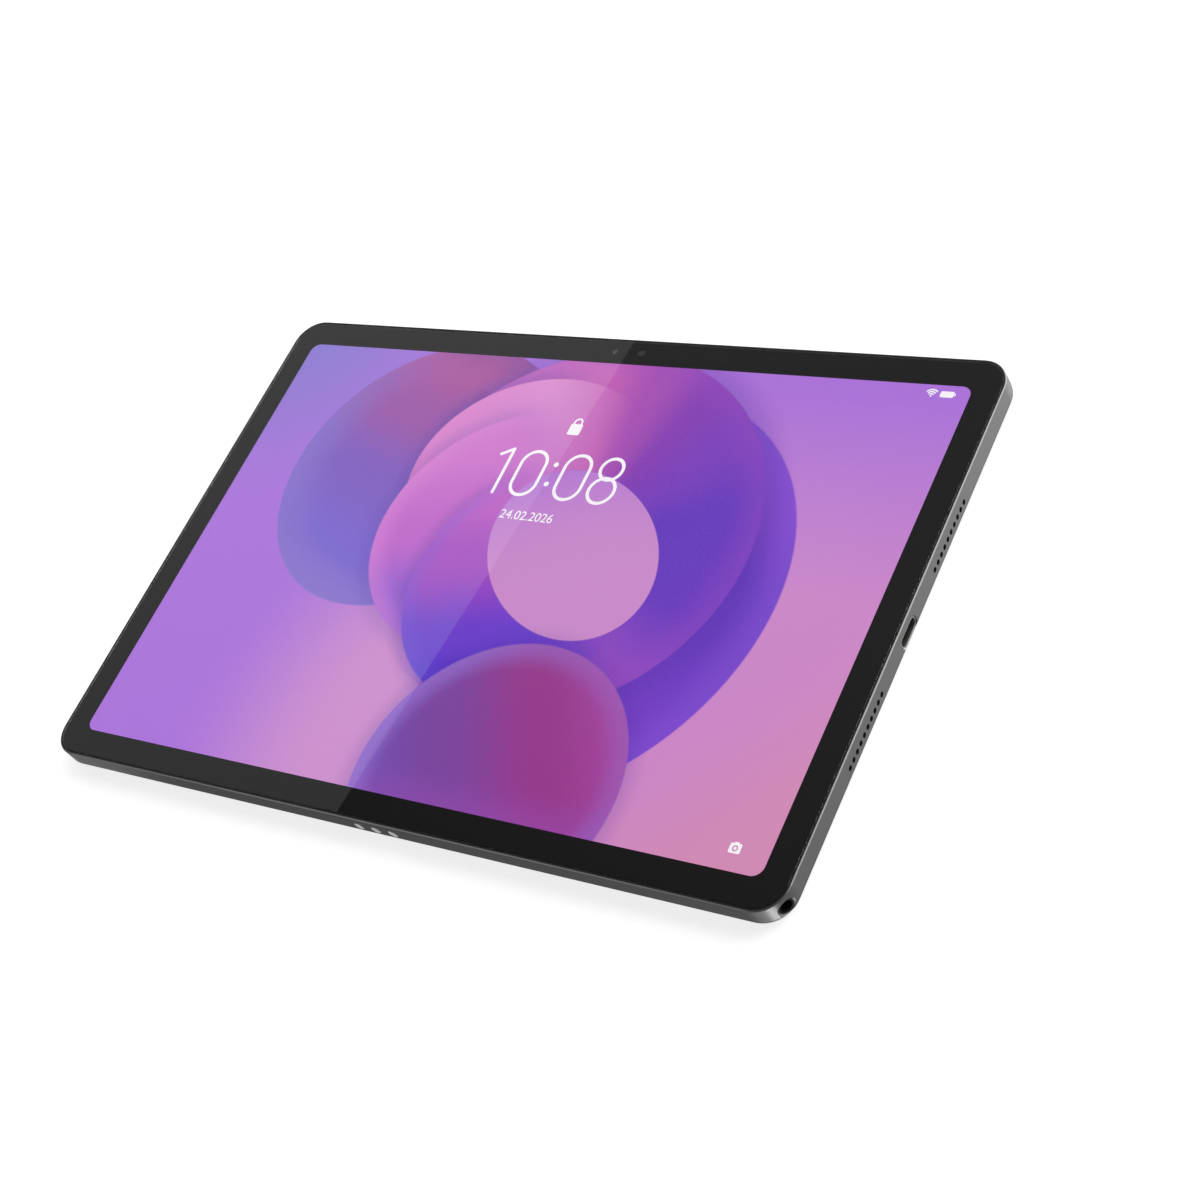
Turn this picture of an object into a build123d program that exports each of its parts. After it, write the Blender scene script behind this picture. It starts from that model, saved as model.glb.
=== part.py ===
from build123d import *
from math import cos, radians, sin
import os

# An 11-inch class tablet computer, lying on its back with the screen up.
# X runs along the long sides, Y towards the side with the front camera, Z out of the screen.
# Every level below is a height above the flat back face. The finished pieces are lifted so
# that the rearmost surface, the camera ring, lies on Z = 0.

# ---------------------------------------------------------------- driving dimensions, mm

BODY_LENGTH = 254.6
BODY_WIDTH = 166.2
BODY_THICKNESS = 7.0
BODY_RADIUS = 8.75

FLOOR = 0.8
WALL = 1.3
BACK_FILLET = 1.5
RIM_WALL = 0.32
RIM_DROP = 0.05
RIM_BEVEL_HEIGHT = 0.25
RIM_BEVEL_WIDTH = 0.27
LEDGE_REACH = 1.6
LEDGE_THICKNESS = 0.8

GLASS_INSET = 0.8
GLASS_THICKNESS = 0.7
GLASS_EDGE_FILLET = 0.2
BORDER_THICKNESS = 0.05
BORDER_MARGIN = 0.15
ADHESIVE_THICKNESS = 0.1
ADHESIVE_MARGIN = 0.2
GLASS_FRAME_OUTER = 0.54
GLASS_FRAME_INNER = 0.76
GLASS_FRAME_DROP = 0.1

ACTIVE_LENGTH = 236.9
ACTIVE_WIDTH = 148.1
ACTIVE_RADIUS = 3.2
PANEL_MARGIN = 1.3

CUT_START = 0.5
CUT_DEPTH = 2.5

PORT_LEVEL = 2.75
KEY_LEVEL = 3.25
SPEAKER_HOLE_LEVEL = 3.25

SPEAKER_HOLE_RADIUS = 0.76
SPEAKER_HOLE_PITCH = 2.355
SPEAKER_HOLE_COUNT = 10
SPEAKER_Y = 29.3
SPEAKER_BOX_X = (103.0, 125.7)
SPEAKER_BOX_WIDTH = 25.0
SPEAKER_BOX_LEVEL = (0.85, 4.35)
SPEAKER_BOX_WALL = 0.6
SPEAKER_DRIVER_X = 111.5
MESH_THICKNESS = 0.15
MESH_WIDTH = 24.0
MESH_HEIGHT = 2.4

USB_SLOT_LENGTH = 9.1
USB_SLOT_HEIGHT = 3.3
USB_SHELL_LENGTH = 8.94
USB_SHELL_HEIGHT = 3.16
USB_SHELL_WALL = 0.3
USB_DEPTH = 6.9
USB_BEVEL = 0.28
USB_MOUTH_DEPTH = 0.3
TONGUE_LENGTH = 5.4
TONGUE_WIDTH = 6.68
TONGUE_THICKNESS = 0.7
TONGUE_CLEARANCE = 0.02

JACK_ANGLE = -26.5
JACK_BORE_RADIUS = 1.8
JACK_NOSE_RADIUS = 2.25
JACK_NOSE_DEPTH = 0.75
JACK_HOLE_RADIUS = 2.3
JACK_FLARE = (1.6, 0.65)
JACK_FLARE_DEPTH = 0.95
JACK_BODY_WIDTH = 5.6
JACK_BODY_HEIGHT = 3.9
JACK_BODY_LENGTH = 12.0
JACK_BODY_GAP = 0.65
JACK_END_WALL = 0.8
JACK_SPRINGS = [(4.6, -1), (2.0, 1), (-0.6, -1), (-3.0, 1)]

CONTACT_PITCH = 6.0
CONTACT_RADIUS = 1.55
CONTACT_RECESS = 0.18
CONTACT_COLLAR_RADIUS = 1.67
CONTACT_HOLE_RADIUS = 1.69
CONTACT_TAIL_RADIUS = 0.5

ISLAND_LENGTH = 45.0
ISLAND_WIDTH = 30.2
ISLAND_RADIUS = 3.0
ISLAND_CENTRE = (-97.2, 60.8)
ISLAND_PROUD = 1.0
ISLAND_SEAT = 0.4
ISLAND_GAP = 0.05
ISLAND_FILLET = 0.35
LENS_CENTRE = (-106.3, 61.1)
RING_OUTER_RADIUS = 7.45
RING_INNER_RADIUS = 6.3
RING_LIP_RADIUS = 5.6
RING_PROUD = 0.35
RING_BEVEL = 0.15
LENS_COVER_LEVEL = (-1.15, -0.35)
GASKET_INNER_RADIUS = 4.4
REAR_MODULE_SIZE = 9.5
REAR_BARREL_RADIUS = 4.25
REAR_FUNNEL_RADII = (3.6, 1.7)
REAR_FUNNEL_LEVEL = (-0.25, 0.35)
REAR_LENS_RADIUS = 1.65

POWER_KEY_Y = 62.9
POWER_KEY_LENGTH = 11.4
VOLUME_KEY_X = -92.0
VOLUME_KEY_LENGTH = 22.0
KEY_HEIGHT = 2.3
KEY_PROUD = 0.3
KEY_EDGE_FILLET = 0.2
KEY_FLANGE = (1.4, 0.9)
KEY_GAP = 0.1
VOLUME_KEY_GAP = 0.2

TRAY_X = -57.0
TRAY_FACE_LENGTH = 15.6
TRAY_FACE_HEIGHT = 2.4
TRAY_BED_WIDTH = 13.0
TRAY_BED_LEVEL = (2.75, 3.75)
TRAY_BED_END = 64.5
CARD_RECESS = (11.2, 15.2, 0.6)
CARD_FLOOR = 3.0
CARD_Y = 73.0
PIN_HOLE_RADIUS = 0.4
PIN_HOLE_OFFSET = 6.3

FRONT_CAMERA = (0.0, 78.4)
FRONT_WINDOW_RADIUS = 0.95
FRONT_BARREL_RADIUS = 2.2
FRONT_BARREL_HOLE_RADIUS = 2.6
LIGHT_SENSOR = (9.4, 78.45)
SENSOR_WINDOW = (2.6, 1.8, 0.6)
MICROPHONE_X = 20.0
MICROPHONE_LEVEL = 1.9
MICROPHONE_HOLE_RADIUS = 0.35

LED_STRIP_Y = (-75.3, -74.5)
LED_PITCH = 8
DRIVER_FLEX_X = (-50, 50)
DRIVER_FLEX_Y = (-76.9, -70.5)
CELL_LENGTH = 73.5
CELL_X = 37.75
CELL_Y = (-58, 52)
CELL_LEVEL = (0.9, 4.2)
CELL_FILLET = 0.6
SCREW_HOLE_RADIUS = 0.72
SCREW_SHANK_RADIUS = 0.7
SCREW_HEAD_RADIUS = 1.25
SCREW_HEAD_HEIGHT = 0.4
BOSS_RADIUS = 1.7
SCREW_CLEARANCE = 0.05
SCREW_SLOT_DEPTH = 0.2

# ---------------------------------------------------------------- sizes that follow

HALF_LENGTH = BODY_LENGTH / 2
HALF_WIDTH = BODY_WIDTH / 2
INNER_X = HALF_LENGTH - WALL
INNER_Y = HALF_WIDTH - WALL
RIM_LEVEL = BODY_THICKNESS - RIM_DROP
GLASS_BOTTOM = BODY_THICKNESS - GLASS_THICKNESS
FRAME_TOP = BODY_THICKNESS - GLASS_FRAME_DROP
BORDER_BOTTOM = GLASS_BOTTOM - BORDER_THICKNESS
LEDGE_TOP = BORDER_BOTTOM - ADHESIVE_THICKNESS
LEDGE_BOTTOM = LEDGE_TOP - LEDGE_THICKNESS
LIFT = ISLAND_PROUD + RING_PROUD

PANEL_TOP = 6.22
PANEL_BOTTOM = 5.6
BACKLIGHT_TOP = 5.58
BACKLIGHT_BOTTOM = 4.8
PLATE_TOP = 4.7
PLATE_BOTTOM = 4.45
BOARD_BOTTOM = 1.6
BOARD_TOP = 2.4
FLEX_THICKNESS = 0.12
UPPER_FLEX_LEVEL = 4.22
LOWER_FLEX_LEVEL = 2.45

PLATE_SCREWS_X = [(s * 122.1, y) for s in (-1, 1) for y in (-52, -11, 11, 52)]
PLATE_SCREWS_Y = [(-75, 77.9), (-35, 77.9), (35, 77.9), (75, 77.9)]
PLATE_SCREWS_Y += [(-100, -77.9), (-60, -77.9), (60, -77.9), (100, -77.9)]
PLATE_SCREWS = PLATE_SCREWS_X + PLATE_SCREWS_Y
MAIN_BOARD_SCREWS = [(-98.5, -73), (-78.5, -58), (-98.5, -11), (-98.5, 53.5), (-46, 73)]
USB_BOARD_SCREWS = [(87, -10), (87, 10)]
BOARD_SCREWS = MAIN_BOARD_SCREWS + USB_BOARD_SCREWS

CORNER_CENTRE = (HALF_LENGTH - BODY_RADIUS, -HALF_WIDTH + BODY_RADIUS)
JACK_OUT = (cos(radians(JACK_ANGLE)), sin(radians(JACK_ANGLE)), 0)
JACK_NOSE = BODY_RADIUS - JACK_NOSE_DEPTH
JACK_FRONT = BODY_RADIUS - WALL - JACK_BODY_GAP
USB_MOUTH = HALF_LENGTH - USB_MOUTH_DEPTH

SPEAKERS = {
    "upper_left": (-1, 1),
    "lower_left": (-1, -1),
    "upper_right": (1, 1),
    "lower_right": (1, -1),
}


# ---------------------------------------------------------------- basic shapes

def slab(length, width, radius, low, high, centre=(0, 0)):
    """A plate with rounded corners between two levels."""
    outline = Pos(centre[0], centre[1], low) * RectangleRounded(length, width, radius)
    return extrude(outline, high - low)


def block(x, y, z):
    """A box given by its lowest and highest value along each axis."""
    size = [span[1] - span[0] for span in (x, y, z)]
    middle = [(span[1] + span[0]) / 2 for span in (x, y, z)]
    return Pos(*middle) * Box(*size)


def post(centre, radius, low, high):
    """An upright cylinder between two levels."""
    return extrude(Pos(centre[0], centre[1], low) * Circle(radius), high - low)


def tube(centre, outer, inner, low, high):
    """An upright tube between two levels."""
    return post(centre, outer, low, high) - post(centre, inner, low, high)


def rod(start, direction, radius, length):
    """A cylinder that runs from a point along a direction."""
    return extrude(Plane(start, z_dir=direction) * Circle(radius), length)


def pill(start, outward, length, height, depth):
    """A bar of oval section that lies along a side and runs outward from its start."""
    along = Vector(0, 0, 1).cross(Vector(*outward))
    return extrude(Plane(start, x_dir=along, z_dir=outward) * SlotOverall(length, height), depth)


def jack_point(distance):
    """A point on the headphone jack's axis, measured from the centre of the corner's arc."""
    x, y = CORNER_CENTRE
    return (x + distance * JACK_OUT[0], y + distance * JACK_OUT[1], PORT_LEVEL)


# ---------------------------------------------------------------- housing and its openings

def housing_shell():
    """The aluminium tray: back plate, side walls and the ledge that carries the glass."""
    shell = slab(BODY_LENGTH, BODY_WIDTH, BODY_RADIUS, 0, RIM_LEVEL)
    shell = fillet(shell.faces().sort_by(Axis.Z)[0].edges(), BACK_FILLET)
    rim = shell.faces().sort_by(Axis.Z)[-1]
    shell = chamfer(rim.edges(), RIM_BEVEL_WIDTH, RIM_BEVEL_HEIGHT, reference=rim)
    glass_seat = inset_slab(RIM_WALL, LEDGE_TOP, RIM_LEVEL)
    window = inset_slab(WALL + LEDGE_REACH, LEDGE_BOTTOM, LEDGE_TOP)
    cavity = inset_slab(WALL, FLOOR, LEDGE_BOTTOM)
    return shell - glass_seat - window - cavity


def inset_slab(inset, low, high):
    """A slab that keeps the same distance from the outer side walls all round."""
    return slab(BODY_LENGTH - 2 * inset, BODY_WIDTH - 2 * inset, BODY_RADIUS - inset, low, high)


def wall_cut(side, y, length, height, level):
    """An oval slot through a short side wall; side is -1 on the left and 1 on the right."""
    start = (side * (INNER_X - CUT_START), y, level)
    return pill(start, (side, 0, 0), length, height, CUT_DEPTH)


def top_cut(x, length, height, level):
    """An oval slot through the long side wall nearest the front camera."""
    return pill((x, INNER_Y - CUT_START, level), (0, 1, 0), length, height, CUT_DEPTH)


def port_bevel(side, y, length, height, level, bevel):
    """A flared mouth round a slot in a short side wall."""
    face = Plane((side * HALF_LENGTH, y, level), x_dir=(0, 1, 0), z_dir=(side, 0, 0))
    wide = face * SlotOverall(length + 2 * bevel, height + 2 * bevel)
    narrow = face.offset(-bevel) * SlotOverall(length, height)
    return loft([narrow, wide])


def speaker_holes(side, row):
    """Ten round holes through a short side wall."""
    first = row * SPEAKER_Y - SPEAKER_HOLE_PITCH * (SPEAKER_HOLE_COUNT - 1) / 2
    holes = []
    for number in range(SPEAKER_HOLE_COUNT):
        y = first + number * SPEAKER_HOLE_PITCH
        start = (side * (INNER_X - CUT_START), y, SPEAKER_HOLE_LEVEL)
        holes.append(rod(start, (side, 0, 0), SPEAKER_HOLE_RADIUS, CUT_DEPTH))
    return holes


def contact_positions():
    """The places along X of the three accessory contacts."""
    return [-CONTACT_PITCH, 0, CONTACT_PITCH]


def jack_cut():
    """The headphone hole through the corner; its mouth flares most along the curved wall."""
    hole = rod(jack_point(JACK_FRONT - 0.05), JACK_OUT, JACK_HOLE_RADIUS, CUT_DEPTH)
    along_wall = (-JACK_OUT[1], JACK_OUT[0], 0)
    seat = Plane(jack_point(JACK_NOSE), x_dir=along_wall, z_dir=JACK_OUT)
    radii = [JACK_HOLE_RADIUS + slope * JACK_FLARE_DEPTH for slope in JACK_FLARE]
    wide = seat.offset(JACK_FLARE_DEPTH) * Ellipse(*radii)
    return hole + loft([seat * Circle(JACK_HOLE_RADIUS), wide])


def housing_cuts():
    """Everything that is cut out of the housing."""
    cuts = [hole for side, row in SPEAKERS.values() for hole in speaker_holes(side, row)]
    cuts.append(wall_cut(1, 0, USB_SLOT_LENGTH, USB_SLOT_HEIGHT, PORT_LEVEL))
    cuts.append(port_bevel(1, 0, USB_SLOT_LENGTH, USB_SLOT_HEIGHT, PORT_LEVEL, USB_BEVEL))
    cuts.append(jack_cut())
    for x in contact_positions():
        start = (x, -INNER_Y + CUT_START, PORT_LEVEL)
        cuts.append(rod(start, (0, -1, 0), CONTACT_HOLE_RADIUS, CUT_DEPTH))
    gap = 2 * KEY_GAP
    cuts.append(wall_cut(-1, POWER_KEY_Y, POWER_KEY_LENGTH + gap, KEY_HEIGHT + gap, KEY_LEVEL))
    gap = 2 * VOLUME_KEY_GAP
    cuts.append(top_cut(VOLUME_KEY_X, VOLUME_KEY_LENGTH + gap, KEY_HEIGHT + gap, KEY_LEVEL))
    gap = 2 * KEY_GAP
    cuts.append(top_cut(TRAY_X, TRAY_FACE_LENGTH + gap, TRAY_FACE_HEIGHT + gap, KEY_LEVEL))
    start = (MICROPHONE_X, INNER_Y - CUT_START, MICROPHONE_LEVEL)
    cuts.append(rod(start, (0, 1, 0), MICROPHONE_HOLE_RADIUS, CUT_DEPTH))
    cuts.append(slab(ISLAND_LENGTH + 2 * ISLAND_GAP, ISLAND_WIDTH + 2 * ISLAND_GAP, ISLAND_RADIUS,
                     0, ISLAND_SEAT, ISLAND_CENTRE))
    cuts.append(post(LENS_CENTRE, RING_LIP_RADIUS, 0, FLOOR))
    cuts.append(post(FRONT_CAMERA, FRONT_BARREL_HOLE_RADIUS, LEDGE_BOTTOM, LEDGE_TOP))
    return cuts


def screw_boss(centre, high):
    """A post on the housing floor with a blind screw hole."""
    return tube(centre, BOSS_RADIUS, SCREW_HOLE_RADIUS, FLOOR, high)


def rear_housing():
    housing = housing_shell() - housing_cuts()
    bosses = [screw_boss(centre, PLATE_BOTTOM) for centre in PLATE_SCREWS]
    bosses += [screw_boss(centre, BOARD_BOTTOM) for centre in BOARD_SCREWS]
    return housing + bosses


# ---------------------------------------------------------------- glass and display

def cover_glass():
    glass = inset_slab(GLASS_INSET, GLASS_BOTTOM, BODY_THICKNESS)
    return fillet(glass.faces().sort_by(Axis.Z)[-1].edges(), GLASS_EDGE_FILLET)


def glass_border():
    """The black print behind the glass, open over the picture, the camera and the sensor."""
    border = inset_slab(GLASS_INSET + BORDER_MARGIN, BORDER_BOTTOM, GLASS_BOTTOM)
    border -= slab(ACTIVE_LENGTH, ACTIVE_WIDTH, ACTIVE_RADIUS, BORDER_BOTTOM, GLASS_BOTTOM)
    border -= post(FRONT_CAMERA, FRONT_WINDOW_RADIUS, BORDER_BOTTOM, GLASS_BOTTOM)
    return border - slab(*SENSOR_WINDOW, BORDER_BOTTOM, GLASS_BOTTOM, LIGHT_SENSOR)


def glass_frame():
    """The narrow moulded frame that fills most of the gap round the glass."""
    frame = inset_slab(GLASS_FRAME_OUTER, LEDGE_TOP, FRAME_TOP)
    return frame - inset_slab(GLASS_FRAME_INNER, LEDGE_TOP, FRAME_TOP)


def display_adhesive():
    """The tape on the ledge that holds the glass."""
    tape = inset_slab(GLASS_INSET + ADHESIVE_MARGIN, LEDGE_TOP, BORDER_BOTTOM)
    tape -= inset_slab(WALL + LEDGE_REACH, LEDGE_TOP, BORDER_BOTTOM)
    return tape - post(FRONT_CAMERA, FRONT_BARREL_HOLE_RADIUS + 0.2, LEDGE_TOP, BORDER_BOTTOM)


def panel_slab(low, high):
    """A plate of the display panel's outline."""
    length = ACTIVE_LENGTH + 2 * PANEL_MARGIN
    width = ACTIVE_WIDTH + 2 * PANEL_MARGIN
    return slab(length, width, ACTIVE_RADIUS, low, high)


def display_panel():
    return panel_slab(PANEL_BOTTOM, PANEL_TOP)


def backlight():
    """Reflector, light guide and films in one frame, without the strip beside them."""
    strip = block((-HALF_LENGTH, HALF_LENGTH), (-HALF_WIDTH, LED_STRIP_Y[1]),
                  (BACKLIGHT_BOTTOM, BACKLIGHT_TOP))
    return panel_slab(BACKLIGHT_BOTTOM, BACKLIGHT_TOP) - strip


def backlight_led_bar():
    """A flex strip with a row of light-emitting diodes along the lower edge."""
    strip = block((-112, 112), (LED_STRIP_Y[0], LED_STRIP_Y[1] - 0.5), (4.9, 5.5))
    leds = [block((x - 1.5, x + 1.5), (LED_STRIP_Y[1] - 0.5, LED_STRIP_Y[1] - 0.05), (4.95, 5.45))
            for x in range(-108, 109, LED_PITCH)]
    return strip + leds


def driver_flex():
    """The film that carries the panel's drivers, folded down behind the lower edge."""
    edge, end = DRIVER_FLEX_Y
    panel_level = PANEL_BOTTOM + 0.15
    top = block(DRIVER_FLEX_X, (edge, edge + 1.5), (panel_level, panel_level + FLEX_THICKNESS))
    drop = block(DRIVER_FLEX_X, (edge, edge + FLEX_THICKNESS),
                 (UPPER_FLEX_LEVEL, panel_level + FLEX_THICKNESS))
    tail = block(DRIVER_FLEX_X, DRIVER_FLEX_Y, (UPPER_FLEX_LEVEL, UPPER_FLEX_LEVEL + FLEX_THICKNESS))
    return top + drop + tail


def display_board():
    board = slab(120, 10, 1, 3.4, 4.2, (0, -67))
    chips = [block((x - 3, x + 3), (-69, -65), (2.6, 3.4)) for x in (-40, -12, 16, 44)]
    return board + chips


def mid_plate():
    """The steel sheet between the display and the parts below it."""
    plate = slab(247.4, 159.4, 6, PLATE_BOTTOM, PLATE_TOP)
    level = (PLATE_BOTTOM, PLATE_TOP)
    plate -= block((-4, 4), (74.6, 80), level)
    plate -= block((7, 12), (76, 80), level)
    plate -= block((-124, -120.9), (54.5, 71), level)
    plate -= block((-105, -79), (79.2, 80), level)
    plate -= block((-52, 52), (-77.3, -76.2), level)
    corner = Plane(jack_point(JACK_FRONT + 6), x_dir=(0, 0, 1), z_dir=JACK_OUT)
    plate -= extrude(corner * Rectangle(6, 12), -JACK_BODY_LENGTH - 7)
    radius = SCREW_HOLE_RADIUS + SCREW_CLEARANCE
    return plate - [post(centre, radius, *level) for centre in PLATE_SCREWS]


# ---------------------------------------------------------------- screws

def screw(centre, seat, depth):
    """A small pan-head screw with a cross recess; seat is the level under its head."""
    body = post(centre, SCREW_HEAD_RADIUS, seat, seat + SCREW_HEAD_HEIGHT)
    body += post(centre, SCREW_SHANK_RADIUS, seat - depth, seat)
    x, y = centre
    level = (seat + SCREW_HEAD_HEIGHT - SCREW_SLOT_DEPTH, seat + SCREW_HEAD_HEIGHT)
    body -= block((x - 0.7, x + 0.7), (y - 0.15, y + 0.15), level)
    return body - block((x - 0.15, x + 0.15), (y - 0.7, y + 0.7), level)


def plate_screws():
    return Compound([screw(centre, PLATE_TOP, 2.5) for centre in PLATE_SCREWS])


def board_screws():
    return Compound([screw(centre, BOARD_TOP, 1.5) for centre in BOARD_SCREWS])


# ---------------------------------------------------------------- battery

def battery_cell(side):
    """A pouch cell; side is -1 on the left and 1 on the right."""
    length = CELL_Y[1] - CELL_Y[0]
    middle = (CELL_Y[1] + CELL_Y[0]) / 2
    cell = slab(CELL_LENGTH, length, 2, *CELL_LEVEL, (side * CELL_X, middle))
    return fillet(cell.faces().sort_by(Axis.Z)[-1].edges(), CELL_FILLET)


def battery_adhesive():
    """Pull strips that hold the cells to the housing floor."""
    spans = [(-66, -54), (-24, -12), (12, 24), (54, 66)]
    return Compound([block(span, (-56, 50), (FLOOR, CELL_LEVEL[0])) for span in spans])


def battery_protection_board():
    board = block((-40, 40), (52.4, 56.6), (2.2, 3.0))
    parts = [block((x - 2, x + 2), (53.4, 55.6), (3.0, 3.8)) for x in (-30, -20, -8, 8, 20, 30)]
    return board + parts


def battery_flex():
    """The ribbon from the protection board to its plug on the main board."""
    ribbon = block((-80, -40.05), (53, 56), (2.7, 2.7 + FLEX_THICKNESS))
    return ribbon + block((-80, -76.4), (52.6, 56.4), (BOARD_TOP, 2.7))


# ---------------------------------------------------------------- main board

def main_board():
    level = (BOARD_BOTTOM, BOARD_TOP)
    board = block((-100.9, -75.6), (-75.8, 75.8), level)
    board += block((-75.6, -44), (58, 75.8), level)
    radius = SCREW_HOLE_RADIUS + SCREW_CLEARANCE
    return board - [post(centre, radius, *level) for centre in MAIN_BOARD_SCREWS]


def shield(x, y, high=4.0, wall=0.2):
    """A pressed steel can, open at the bottom."""
    can = block(x, y, (BOARD_TOP, high))
    inside = [(span[0] + wall, span[1] - wall) for span in (x, y)]
    return can - block(*inside, (BOARD_TOP, high - wall))


def processor_shield():
    return shield((-99.5, -78), (14, 50))


def power_shield():
    return shield((-96.5, -80), (-50, -14))


def radio_shield():
    return shield((-98.5, -78), (58.5, 74))


def chips():
    """Processor, memory and power chips under the cans."""
    spots = [((-94, -82), (24, 38)), ((-94, -84), (16, 22)), ((-92, -84), (-30, -20)),
             ((-94, -82), (-44, -34)), ((-94, -86), (62, 70))]
    return Compound([block(x, y, (BOARD_TOP, 3.4)) for x, y in spots])


def graphite_sheet():
    """The heat-spreading sheet on the housing floor under the main board."""
    return block((-96, -77), (-54, 50), (FLOOR, FLOOR + 0.1))


def display_flex():
    """The ribbon from the display board to the main board."""
    level = (UPPER_FLEX_LEVEL, UPPER_FLEX_LEVEL + FLEX_THICKNESS)
    ribbon = block((-82, -50), (-71, -63), level)
    drop = block((-82, -82 + FLEX_THICKNESS), (-71, -63), (2.9, level[1]))
    return ribbon + drop + block((-84, -80), (-71.5, -62.5), (BOARD_TOP, 2.9))


def main_flex():
    """The ribbon over the battery, from the main board to the USB board."""
    level = (4.24, 4.24 + FLEX_THICKNESS)
    ribbon = block((-86, 98), (-6, 6), level)
    ends = []
    for x in (-86, 98 - FLEX_THICKNESS):
        ends.append(block((x, x + FLEX_THICKNESS), (-6, 6), (2.9, level[1])))
        ends.append(block((x - 2, x + 2), (-6.5, 6.5), (BOARD_TOP, 2.9)))
    return ribbon + ends


def microphone():
    x = MICROPHONE_X
    return block((x - 1.75, x + 1.75), (INNER_Y - 1.2, INNER_Y - 0.05), (1.0, 2.8))


def antenna(x):
    """A moulded carrier with its aerial, under the black border of the glass."""
    return slab(24, 3.8, 0.8, 4.85, 6.0, (x, 77.8))


def radio_antennas():
    return Compound([antenna(-52), antenna(54)])


# ---------------------------------------------------------------- cameras and sensor

def camera_island():
    plate = slab(ISLAND_LENGTH, ISLAND_WIDTH, ISLAND_RADIUS, -ISLAND_PROUD, ISLAND_SEAT,
                 ISLAND_CENTRE)
    plate = fillet(plate.faces().sort_by(Axis.Z)[0].edges(), ISLAND_FILLET)
    return plate - post(LENS_CENTRE, RING_OUTER_RADIUS + ISLAND_GAP, -ISLAND_PROUD, ISLAND_SEAT)


def camera_ring():
    """The lens ring: a turned band with a lip inside that carries the window."""
    ring = post(LENS_CENTRE, RING_OUTER_RADIUS, -LIFT, ISLAND_SEAT)
    ring = chamfer(ring.faces().sort_by(Axis.Z)[0].edges(), RING_BEVEL)
    ring -= post(LENS_CENTRE, RING_INNER_RADIUS, -LIFT, LENS_COVER_LEVEL[1])
    return ring - post(LENS_CENTRE, RING_LIP_RADIUS, LENS_COVER_LEVEL[1], ISLAND_SEAT)


def camera_lens_cover():
    return post(LENS_CENTRE, RING_INNER_RADIUS - 0.05, *LENS_COVER_LEVEL)


def rear_camera_gasket():
    return tube(LENS_CENTRE, RING_LIP_RADIUS - 0.1, GASKET_INNER_RADIUS, -0.3, FLOOR)


def rear_camera_module():
    """Square body with a round barrel that is funnel-shaped in front of the lens."""
    x, y = LENS_CENTRE
    front, seat = REAR_FUNNEL_LEVEL
    wide, narrow = REAR_FUNNEL_RADII
    half = REAR_MODULE_SIZE / 2
    body = block((x - half, x + half), (y - half, y + half), (FLOOR + 0.05, 4.3))
    body += post(LENS_CENTRE, REAR_BARREL_RADIUS, front, FLOOR + 0.05)
    funnel = loft([Pos(x, y, front) * Circle(wide), Pos(x, y, seat) * Circle(narrow)])
    return body - funnel - post(LENS_CENTRE, narrow, seat, 1.2)


def rear_camera_lens():
    """The front lens element, domed towards the scene."""
    dome = Pos(LENS_CENTRE[0], LENS_CENTRE[1], 3.3) * Sphere(3.1)
    return post(LENS_CENTRE, REAR_LENS_RADIUS, 0.2, 1.1) & dome


def rear_camera_flex():
    x, y = LENS_CENTRE
    ribbon = block((x + 1, -97), (y - 2.5, y + 2.5), (4.3, 4.3 + FLEX_THICKNESS))
    return ribbon + block((-97 - FLEX_THICKNESS, -97), (y - 2.5, y + 2.5), (4.0, 4.3))


def front_camera_module():
    x, y = FRONT_CAMERA
    body = block((x - 3, x + 3), (y - 3, y + 3), (1.6, 4.9))
    body += post(FRONT_CAMERA, FRONT_BARREL_RADIUS, 4.9, 6.15)
    funnel = loft([Pos(x, y, 5.75) * Circle(0.8), Pos(x, y, 6.15) * Circle(1.5)])
    return body - funnel - post(FRONT_CAMERA, 0.8, 5.2, 5.75)


def front_camera_lens():
    dome = Pos(FRONT_CAMERA[0], FRONT_CAMERA[1], 4.3) * Sphere(1.5)
    return post(FRONT_CAMERA, 0.75, 5.2, 5.9) & dome


def light_sensor():
    x, y = LIGHT_SENSOR
    return block((x - 1.5, x + 1.5), (y - 1.1, y + 1.1), (5.0, 6.15))


# ---------------------------------------------------------------- speakers

def speaker_box(side, row):
    """A closed plastic box with an oval mouth behind the row of holes."""
    y = row * SPEAKER_Y
    inner, outer = SPEAKER_BOX_X
    low, high = SPEAKER_BOX_LEVEL
    half, wall = SPEAKER_BOX_WIDTH / 2, SPEAKER_BOX_WALL
    box = block(sorted((side * inner, side * outer)), (y - half, y + half), (low, high))
    hollow = block(sorted((side * (inner + wall), side * (outer - wall))),
                   (y - half + wall, y + half - wall), (low + wall, high - wall))
    mouth = pill((side * (outer - 1), y, SPEAKER_HOLE_LEVEL - 0.4), (side, 0, 0), 23, 1.6, 1)
    return box - hollow - mouth


def speaker_driver(side, row):
    """The driver in its box: frame, magnet and the cone's raised rim."""
    centre = (side * SPEAKER_DRIVER_X, row * SPEAKER_Y)
    frame = slab(13, 18, 2, 1.45, 2.8, centre)
    rim = slab(12, 17, 1.8, 2.8, 3.3, centre) - slab(9, 14, 1.4, 2.9, 3.3, centre)
    return frame + rim


def speaker_mesh(side, row):
    """The dust mesh stuck inside the wall over ten holes."""
    outer = INNER_X - 0.02
    x = sorted((side * (outer - MESH_THICKNESS), side * outer))
    y = row * SPEAKER_Y
    return block(x, (y - MESH_WIDTH / 2, y + MESH_WIDTH / 2),
                 (SPEAKER_HOLE_LEVEL - MESH_HEIGHT / 2, SPEAKER_HOLE_LEVEL + MESH_HEIGHT / 2))


# ---------------------------------------------------------------- ports

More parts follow.
